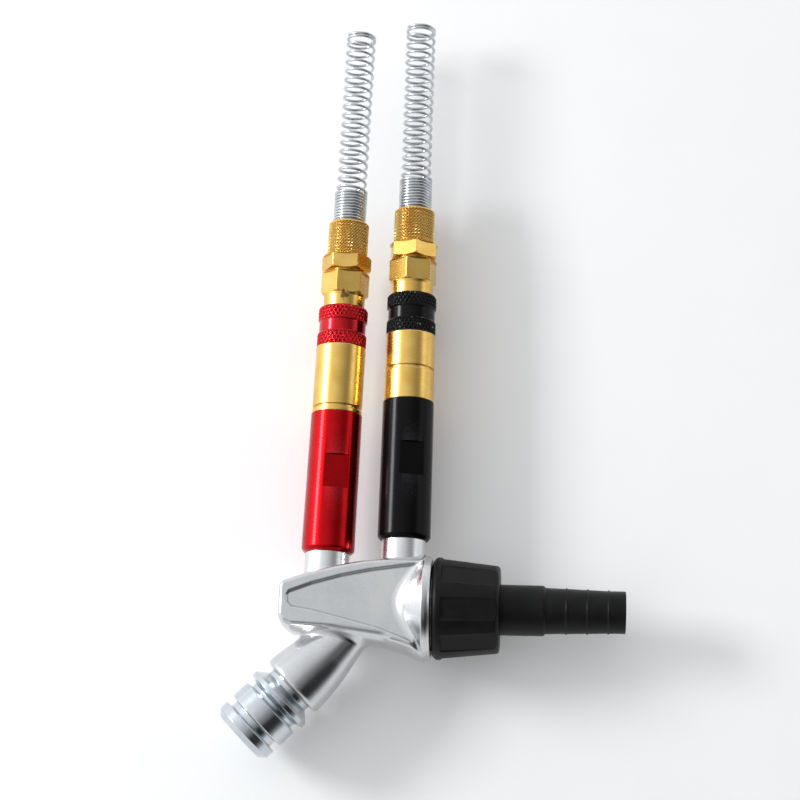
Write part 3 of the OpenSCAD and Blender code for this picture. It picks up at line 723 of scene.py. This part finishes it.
def coupler_plug(colour):
    """The plug: a nose with a round ball groove, a collar, a hexagon, a thread and a hose barb."""
    top = BASE[colour] + HOUSE_LEN
    nose = 24
    ball_at = 38
    ball_groove = ((0, -1.92), (0.7, -1.6), (1.2, -0.9), (1.33, 0), (1.2, 0.9), (0.7, 1.6),
                   (0, 1.92))
    collar = 51.55
    collar_r = 9.65
    hex_low = 58.4
    hex_high = 68.8
    across = 20.0
    flat = across / 2
    corner = flat / cos(pi / 6) - HEX_CORNER_TRIM
    neck_r = 8.3
    thread_r = 8.6
    thread_from = 70.1
    thread_end = 80.5
    barb_core = 4.3
    barb_r = 5.3
    barb_land = 98
    barb_land_r = 4.6
    barb_end = 106
    outline = [(PLUG_BORE_R, nose), (PLUG_R, nose, 0.5)]
    outline += [(PLUG_R - depth, ball_at + h, 0.05) for depth, h in ball_groove]
    outline += [(PLUG_R, collar), (collar_r, collar, 0.3), (flat - 0.1, 57.2, 0.1),
                (flat + 0.2, hex_low, 0.1), (flat + 0.8, hex_low + 0.25, 0.05),
                (corner, hex_low + 0.8, 0.3), (corner, hex_high, 0.15), (neck_r, hex_high, 0.3),
                (neck_r, thread_from), (thread_r, thread_from), (thread_r, thread_end),
                (barb_core, thread_end)]
    for foot in (83.5, 88.0, 92.5):
        outline += [(barb_core, foot, 0.1), (barb_r, foot, 0.1), (barb_core, foot + 4, 0.1)]
    outline += [(barb_core, barb_land, 0.1), (barb_land_r, barb_land, 0.1),
                (barb_land_r, barb_end, 0.3), (PLUG_BORE_R, barb_end, 0.2)]
    outline = [(r, h + top) for r, h in softened(outline)]
    shape = hexagon(across, hex_low + top, hex_high + top, PLUG_TURN[colour])
    return turned(f"{colour}_coupler_plug_turned", LINE[colour], outline, shape, segments=240,
                  start=PLUG_TURN[colour], sharp=22)


def hose_nut(colour):
    """The nut over the hose's end: a hexagon, and a knurled barrel with a lip round the guard."""
    top = BASE[colour] + HOUSE_LEN
    across = 20.6
    flat = across / 2
    corner = flat / cos(pi / 6) - HEX_CORNER_TRIM
    barrel = 9.7
    hex_high = NUT_FROM + 7.0
    knurl_high = NUT_TO - 1.5
    knurl = ((hex_high + 0.5, knurl_high),)
    bore = 8.7
    lip_r = 8.1
    lip_from = 92
    cells = 38
    steps_per_cell = 10
    outline = [(bore, NUT_FROM), (flat - 0.2, NUT_FROM, 0.2), (flat + 0.7, NUT_FROM + 0.4, 0.3),
               (corner, NUT_FROM + 1.0, 0.3), (corner, hex_high - 0.15, 0.1),
               (corner - 0.3, hex_high, 0.1), (barrel, hex_high, 0.1), (barrel, knurl_high, 0.1),
               (barrel - 0.25, NUT_TO - 0.8, 0.5), (barrel - 0.9, NUT_TO - 0.2, 0.4),
               (lip_r, NUT_TO, 0.3), (lip_r, lip_from), (bore, lip_from)]
    shape, cell_h = knurled(barrel, knurl, cells, lean=radians(44), depth=0.6, land=0.12)
    outline = divided(softened(outline), cell_h / 9, hex_high, NUT_TO - 0.5)
    moved = [(r, h + top) for r, h in outline]
    six = hexagon(across, NUT_FROM + top, hex_high + top, NUT_TURN[colour])
    return turned(f"{colour}_hose_nut_knurled", LINE[colour], moved,
                  lambda r, s, angle: six(shape(r, s - top, angle), s, angle),
                  segments=cells * steps_per_cell, start=NUT_TURN[colour], sharp=24)


def spring_guard(colour):
    """The hose's guard: a flared foot in the nut, a close-wound part, open turns and a closed end."""
    top = BASE[colour] + HOUSE_LEN
    pitch = GUARD_WIRE + GUARD_WIRE_GAP
    foot = GUARD_FOOT + GUARD_WIRE / 2
    close_end = 110.6
    flare_turns = 2
    open_turns = 17
    end_turns = 1.5
    flare_r = 8.6
    open_r = 7.3
    close_turns = (close_end - foot) / pitch
    open_from = foot + close_turns * pitch
    end = NUT_TO + GUARD_LEN[colour] - GUARD_WIRE / 2 - GUARD_END_GAP
    open_to = end - end_turns * pitch
    total = close_turns + open_turns + end_turns

    def height(turn):
        turns = [0, close_turns, close_turns + open_turns, total]
        return top + np.interp(turn, turns, [foot, open_from, open_to, open_to + end_turns * pitch])

    def radius(turn):
        outer = np.interp(turn, [flare_turns, flare_turns + 1, close_turns, close_turns + 1],
                          [flare_r, GUARD_CLOSE_R, GUARD_CLOSE_R, open_r])
        return outer - GUARD_WIRE / 2

    return coil(f"{colour}_spring_guard_wound", LINE[colour], total, radius, height,
                GUARD_WIRE, hand=-1)


def inner_spring(colour, part):
    """One of a line's hidden springs, at rest."""
    size = SPRINGS[part]
    foot = BASE[colour] + size["foot"]
    head = BASE[colour] + size["head"]
    return coil(f"{colour}_{part}_wound", LINE[colour], size["turns"],
                lambda turn: size["radius"] + 0 * turn,
                lambda turn: foot + (head - foot) * turn / size["turns"], size["wire"])


# ---- Materials: procedural, in the frame of the axis that each piece turns about -----------------


def wired(tree, kind, sockets=None, **settings):
    """Adds a shader node. Each socket is given a value, or another node's output to link."""
    made = tree.nodes.new("ShaderNode" + kind)
    for key, value in settings.items():
        setattr(made, key, value)
    for socket, value in (sockets or {}).items():
        if isinstance(value, bpy.types.NodeSocket):
            tree.links.new(value, made.inputs[socket])
        else:
            made.inputs[socket].default_value = value
    return made


def noise(tree, where, scale, detail=3):
    return wired(tree, "TexNoise", {"Vector": where, "Scale": scale, "Detail": detail}).outputs["Fac"]


def spread(tree, value, low, high, to_low=0.0, to_high=1.0):
    """Maps low..high to another range, clamped."""
    sockets = {"Value": value, "From Min": low, "From Max": high, "To Min": to_low, "To Max": to_high}
    return wired(tree, "MapRange", sockets).outputs["Result"]


def math_of(tree, operation, a, b):
    return wired(tree, "Math", {0: a, 1: b}, operation=operation).outputs[0]


def mixed(tree, factor, a, b):
    """A colour between a and b."""
    made = wired(tree, "Mix", {0: factor}, data_type="RGBA")
    for socket, value in ((made.inputs[6], a), (made.inputs[7], b)):
        if isinstance(value, bpy.types.NodeSocket):
            tree.links.new(value, socket)
        else:
            socket.default_value = (*value, 1)
    return made.outputs[2]


def marks_round(tree, where, per_metre):
    """Turning marks: noise that changes only along the axis and, on an end face, outward from it."""
    flat = wired(tree, "VectorMath", {0: where, 1: (1, 1, 0)}, operation="MULTIPLY").outputs[0]
    radius = wired(tree, "VectorMath", {0: flat}, operation="LENGTH").outputs["Value"]
    height = wired(tree, "SeparateXYZ", {0: where}).outputs["Z"]
    path = math_of(tree, "ADD", height, math_of(tree, "MULTIPLY", radius, 0.7))
    sockets = {"W": path, "Scale": per_metre, "Detail": 4}
    return wired(tree, "TexNoise", sockets, noise_dimensions="1D").outputs["Fac"]


# The stretch of noise over which colour drifts to dark, and the one over which roughness rises
DRIFT = (0.5, 0.85)
ROUGHENING = (0.45, 0.9)

# A layer starts to show at the first value, shows in full at the second, and covers by the third.
# For turning marks the value is noise. For the painted shade in hollows and the painted highlight on
# convex edges it is pointiness.
MARKED = (0.52, 0.8, 0.45)
# Painted shade: hollows, where pointiness is low, take a darker colour.
SHADED_HOLLOWS = (0.492, 0.44, 0.85)
# Painted highlight: convex edges, where pointiness is high, take a lighter colour.
HIGHLIGHTED_EDGES = (0.57, 0.66, 0.8)

# How ragged a stain's outline is, in blots per metre
STAIN_RAGGED = 520

# Fine specks over the soft patches: how many times finer they are, and how strong
SPECK_FINER = 14
SPECK_SHARE = 0.35

COAT_ROUGH = 0.12


def showing(tree, value, start, full, cover):
    """How much of a layer shows: nothing at start, and cover at full and beyond."""
    return spread(tree, value, start, full, 0, cover)


def finish(name, place, colour, dark, rough, metallic=1.0, patch=90, marks=None, grain=None,
           edge_highlight=None, hollow_shade=None, coat=0.0, gloss=0.5, stain=None):
    """A procedural finish. Colour drifts to dark in soft patches, patch to a metre. rough is its
    lowest and highest roughness, and gloss the specular level of a finish that isn't metal. marks
    and grain are (how many per metre, depth in metres). worn is the colour of a painted highlight
    on convex edges, cavity that of a painted shade in hollows, and stain is (centre, reach, colour)."""
    material = bpy.data.materials.new(name)
    material.use_nodes = True
    tree = material.node_tree
    shader = tree.nodes["Principled BSDF"]
    shader.inputs["Metallic"].default_value = metallic
    shader.inputs["Coat Weight"].default_value = coat
    shader.inputs["Specular IOR Level"].default_value = gloss
    shader.inputs["Coat Roughness"].default_value = COAT_ROUGH
    seen = wired(tree, "TexCoord").outputs["Object"]
    sockets = {"Vector": seen, "Location": place.translation, "Rotation": place.to_euler()}
    where = wired(tree, "Mapping", sockets, vector_type="TEXTURE").outputs[0]
    cloud = noise(tree, where, patch)
    speckle = noise(tree, where, patch * SPECK_FINER)
    mottle = math_of(tree, "ADD", cloud, math_of(tree, "MULTIPLY", speckle, SPECK_SHARE))
    body = mixed(tree, spread(tree, mottle, *DRIFT), colour, dark)
    roughness = mottle
    if marks:
        lines = marks_round(tree, where, marks[0])
        body = mixed(tree, showing(tree, lines, *MARKED), body, dark)
        roughness = math_of(tree, "MULTIPLY", math_of(tree, "ADD", mottle, lines), 0.6)
    roughness = spread(tree, roughness, *ROUGHENING, *rough)
    edge = wired(tree, "NewGeometry").outputs["Pointiness"]
    # Painted shade laid into hollows by pointiness.
    if hollow_shade:
        body = mixed(tree, showing(tree, edge, *SHADED_HOLLOWS), body, hollow_shade)
    # Painted highlight laid on convex edges by pointiness, a little uneven.
    if edge_highlight:
        uneven = math_of(tree, "ADD", edge, math_of(tree, "MULTIPLY", speckle, 0.05))
        body = mixed(tree, showing(tree, uneven, *HIGHLIGHTED_EDGES), body, edge_highlight)
    if stain:
        centre, reach, brown = stain
        off = wired(tree, "VectorMath", {0: where, 1: centre}, operation="DISTANCE").outputs["Value"]
        blot = math_of(tree, "MULTIPLY", noise(tree, where, STAIN_RAGGED), reach * 2.2)
        soaked = spread(tree, math_of(tree, "ADD", off, blot), reach * 1.75, reach * 1.45, 0, 0.85)
        body = mixed(tree, soaked, body, brown)
        roughness = math_of(tree, "ADD", roughness, math_of(tree, "MULTIPLY", soaked, 0.35))
    tree.links.new(body, shader.inputs["Base Color"])
    tree.links.new(roughness, shader.inputs["Roughness"])
    normal = None
    for pattern, source in ((marks, marks and lines), (grain, grain and noise(tree, where, grain[0]))):
        if pattern:
            sockets = {"Height": source, "Distance": pattern[1], "Strength": 1.0}
            if normal:
                sockets["Normal"] = normal
            normal = wired(tree, "Bump", sockets).outputs["Normal"]
    if normal:
        tree.links.new(normal, shader.inputs["Normal"])
    return material


NONE = Matrix.Identity(4)


# Its cavity colour is painted shade in the casting's recesses and fillet hollows.
def casting_finish():
    return finish("satin_plated_casting", NONE, colour=(0.68, 0.685, 0.69), dark=(0.6, 0.61, 0.62),
                  rough=(0.15, 0.27), patch=60, grain=(5200, 0.000005), hollow_shade=(0.16, 0.17, 0.19))


# Its bluish cavity colour is a painted shade and reflection in the nose's grooves, and its worn colour a
# painted highlight on edges.
def zinc_finish(place):
    return finish("zinc_plated_steel_turned", place, colour=(0.66, 0.69, 0.72),
                  dark=(0.54, 0.58, 0.62), rough=(0.13, 0.27), patch=110, marks=(2600, 0.00001),
                  edge_highlight=(0.8, 0.82, 0.84), hollow_shade=(0.3, 0.42, 0.5))


def aluminium_finish(place):
    return finish("satin_aluminium_turned", place, colour=(0.8, 0.805, 0.81),
                  dark=(0.7, 0.71, 0.72), rough=(0.2, 0.34), marks=(4200, 0.000006))


# Its worn colour is a painted highlight on convex edges.
def red_finish(place):
    return finish("red_anodised_turned", place, colour=(0.55, 0.003, 0.006),
                  dark=(0.42, 0.002, 0.004), rough=(0.2, 0.32), marks=(3800, 0.000004),
                  coat=0.12, edge_highlight=(0.8, 0.1, 0.14))


# A copy of the red finish with a stronger coat and a pink painted highlight on the knurl's edges,
# standing in for glints.
def red_knurl_finish(place):
    return finish("red_anodised_knurled", place, colour=(0.6, 0.004, 0.012),
                  dark=(0.42, 0.002, 0.004), rough=(0.2, 0.32), marks=(3800, 0.000004),
                  coat=0.35, edge_highlight=(1.0, 0.36, 0.46))


# Its worn colour is a grey painted highlight on convex edges.
def black_finish(place, name="black_anodised_turned", gloss=0.1, edge_highlight=(0.08, 0.08, 0.085)):
    return finish(name, place, colour=(0.004, 0.004, 0.0045), dark=(0.0025, 0.0025, 0.003),
                  rough=(0.14, 0.24), metallic=0.0, marks=(3800, 0.000004), gloss=gloss, edge_highlight=edge_highlight)


# A copy of the black finish with grey painted highlights on the knurl's edges, standing in for glints.
def black_knurl_finish(place):
    return black_finish(place, "black_anodised_knurled", gloss=0.14, edge_highlight=(0.4, 0.4, 0.41))


# Its deep orange cavity colour is painted shade in grooves and knurls, and its pale worn colour a
# painted highlight on edges.
def brass_finish(name, place, stain=None):
    return finish(name, place, colour=(0.84, 0.56, 0.155), dark=(0.74, 0.45, 0.1),
                  rough=(0.17, 0.32), patch=120, marks=(3000, 0.000008), edge_highlight=(1.0, 0.86, 0.55),
                  hollow_shade=(0.28, 0.11, 0.014), stain=stain, coat=0.2)


def spring_finish(place):
    return finish("drawn_spring_wire", place, colour=(0.66, 0.68, 0.7), dark=(0.5, 0.52, 0.54),
                  rough=(0.16, 0.3), patch=260, grain=(3600, 0.000006))


def steel_finish():
    return finish("hardened_steel", NONE, colour=(0.72, 0.73, 0.75), dark=(0.6, 0.61, 0.63),
                  rough=(0.1, 0.2), patch=300, grain=(4000, 0.000002))


# Its worn colour is a faint painted highlight on convex edges.
def plastic_finish():
    return finish("moulded_black_plastic", TAIL, colour=(0.0045, 0.0045, 0.005),
                  dark=(0.008, 0.008, 0.0085), rough=(0.34, 0.46), metallic=0.0, patch=150,
                  grain=(3200, 0.000025), gloss=0.16, edge_highlight=(0.03, 0.03, 0.032))


def rubber_finish():
    return finish("moulded_rubber", NONE, colour=(0.012, 0.012, 0.012), dark=(0.02, 0.02, 0.02),
                  rough=(0.5, 0.65), metallic=0.0, patch=300, grain=(6000, 0.00002), gloss=0.3)


FLOOR_GLOW = 0.12


def floor_finish():
    material = finish("pale_floor", NONE, colour=(0.9, 0.9, 0.9), dark=(0.87, 0.87, 0.87),
                      rough=(0.75, 0.85), metallic=0.0, patch=3)
    shader = material.node_tree.nodes["Principled BSDF"]
    shader.inputs["Emission Color"].default_value = (1, 1, 1, 1)
    shader.inputs["Emission Strength"].default_value = FLOOR_GLOW
    return material


# ---- The pieces: each one stands for a CAD node and rides on that node's body --------------------

BODY_OF = {node: body for body, nodes in frame["record"]["behaviour"]["bodies"].items()
           for node in nodes}


def stands_for(piece, node, material):
    """Puts the piece in the place of a CAD node, on that node's body."""
    piece.data.materials.append(material)
    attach(piece, BODY_OF[node])
    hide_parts(node)
    return piece


def compresses(spring):
    """Gives a hidden spring its own copy of its mesh."""
    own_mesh(spring)


def coat_node(node, material):
    """Gives a CAD node that stays in view its finish."""
    for place in NODES[node].material_slots:
        place.material = material


plastic = plastic_finish()
rubber = rubber_finish()
steel = steel_finish()
stands_for(manifold_casting(), "manifold_body", casting_finish())
stands_for(spout_nose(), "spout_nose", zinc_finish(SPOUT))
stands_for(union_nut(), "union_nut", plastic)
stands_for(hose_tail(), "hose_tail", plastic)
coat_node("nose_seal", rubber)
coat_node("tail_seal", rubber)

# The brown stain on the red line's plug: its centre in the line's own frame, its reach, its colour
STAIN = ((0.0008, -0.0096, 0.1474), 0.0036, (0.1, 0.042, 0.018))

for colour, shell_finish, knurl_finish in (
    ("red", red_finish, red_knurl_finish),
    ("black", black_finish, black_knurl_finish),
):
    line = LINE[colour]
    shell = f"{colour}_anodised"
    brass = brass_finish(f"{colour}_satin_brass_turned", line)
    stained = brass_finish("stained_brass_turned", line, STAIN) if colour == "red" else brass
    wire = spring_finish(line)
    for make, part, slot, material in (
        (stub, "stub", "satin_aluminium", aluminium_finish(line)),
        (valve_housing, "valve_housing", shell, shell_finish(line)),
        (locking_sleeve, "locking_sleeve", shell, knurl_finish(line)),
        (adapter, "adapter", "satin_brass", brass),
        (coupler_socket, "coupler_socket", "satin_brass", brass),
        (coupler_plug, "coupler_plug", "satin_brass", stained),
        (hose_nut, "hose_nut", "satin_brass", brass),
        (spring_guard, "spring_guard", "spring_steel", wire),
    ):
        stands_for(make(colour), f"{colour}_{part}", material)
    for part, size in SPRINGS.items():
        spring = inner_spring(colour, part)
        compresses(stands_for(spring, f"{colour}_{part}", wire))
    for material, parts in (
        (brass, ("check_guide", "check_poppet", "check_seat")),
        (rubber, ("check_seal", "socket_seal")),
        (steel, ("locking_balls", "retaining_ring")),
    ):
        for part in parts:
            coat_node(f"{colour}_{part}", material)

# ---- Floor, light and camera --------------------------------------------------------------------------


def floor(height, reach=20.0):
    """A plain pale sheet under the object, reach metres to each side."""
    mesh = bpy.data.meshes.new("studio_floor")
    corners = [(-reach, -reach, height), (reach, -reach, height), (reach, reach, height),
               (-reach, reach, height)]
    mesh.from_pydata(corners, [], [(0, 1, 2, 3)])
    mesh.materials.append(floor_finish())
    plate = bpy.data.objects.new("studio_floor", mesh)
    bpy.context.scene.collection.objects.link(plate)


def direction(azimuth, elevation):
    """Unit vector: azimuth 0 is straight in front of the object (-Y), and 90 is its right side."""
    a, e = radians(azimuth), radians(elevation)
    return Vector((sin(a) * cos(e), -cos(a) * cos(e), sin(e)))


def studio_sky(overhead, horizon, patches):
    """A surround that darkens upward, with soft patches, each (azimuth, elevation, inner angle,
    outer angle, light). A patch with negative light is a dark card."""
    world = bpy.data.worlds.new("studio")
    bpy.context.scene.world = world
    world.use_nodes = True
    tree = world.node_tree
    where = wired(tree, "TexCoord").outputs["Generated"]
    height = wired(tree, "SeparateXYZ", {0: where}).outputs["Z"]
    total = spread(tree, height, 0.0, 0.75, horizon, overhead)
    for azimuth, elevation, inner, outer, light in patches:
        towards = direction(azimuth, elevation)
        facing = wired(tree, "VectorMath", {0: where, 1: towards}, operation="DOT_PRODUCT")
        amount = spread(tree, facing.outputs["Value"], cos(radians(outer)), cos(radians(inner)),
                        0.0, light)
        total = math_of(tree, "ADD", total, amount)
    total = math_of(tree, "MAXIMUM", total, SKY_LEAST)
    shader = tree.nodes["Background"]
    tree.links.new(total, shader.inputs["Strength"])
    shader.inputs["Color"].default_value = SKY_TINT


def soft_light(name, azimuth, elevation, distance, size, power):
    """A rectangular lamp, distance metres from the object and turned to it."""
    lamp = bpy.data.lights.new(name, "AREA")
    lamp.shape = "RECTANGLE"
    lamp.size, lamp.size_y = size
    lamp.energy = power
    lamp.color = LAMP_TINT
    holder = bpy.data.objects.new(name, lamp)
    towards = direction(azimuth, elevation)
    holder.location = AIM + towards * distance
    holder.rotation_euler = towards.to_track_quat("Z", "Y").to_euler()
    bpy.context.scene.collection.objects.link(holder)


def camera(place, forward, right, lens, farthest=60):
    """The scene's camera, from its place and two directions."""
    seen = bpy.data.cameras.new("camera")
    seen.lens = lens
    seen.clip_end = farthest
    holder = bpy.data.objects.new("camera", seen)
    ahead = Vector(forward).normalized()
    side = Vector(right).normalized()
    turn = Matrix((side, side.cross(ahead), -ahead)).transposed()
    holder.matrix_world = Matrix.Translation(place) @ turn.to_4x4()
    bpy.context.scene.collection.objects.link(holder)
    bpy.context.scene.camera = holder


AIM = (Vector(CAD_LOW) + Vector(CAD_HIGH)) / 2
SKY_TINT = (0.97, 0.985, 1.0, 1)
SKY_LEAST = 0.02
LAMP_TINT = (0.95, 0.975, 1.0)

LEFT_WINDOW = (-100, 40, 10, 60, 0.45)
RIGHT_STRIP = (104, 20, 5, 14, 0.7)
RIGHT_CARD = (68, 36, 18, 48, -0.4)
LOW_RIGHT_CARD = (50, 24, 18, 32, -0.4)
FRONT_CARD = (0, 36, 14, 34, -0.3)
BACK_GLOW = (180, 40, 12, 50, 0.3)

floor(CAD_LOW[2])
studio_sky(0.5, 1.0, (LEFT_WINDOW, RIGHT_STRIP, RIGHT_CARD, LOW_RIGHT_CARD, FRONT_CARD, BACK_GLOW))
soft_light("key", azimuth=-103, elevation=28, distance=1.5, size=(0.55, 0.32), power=16)
camera(
    place=(-0.02568, -0.16119, 1.01194),
    forward=(-0.07424, 0.24808, -0.96589),
    right=(0.99712, 0.03382, -0.06796),
    lens=100,
)
bpy.context.scene.view_settings.view_transform = "Standard"
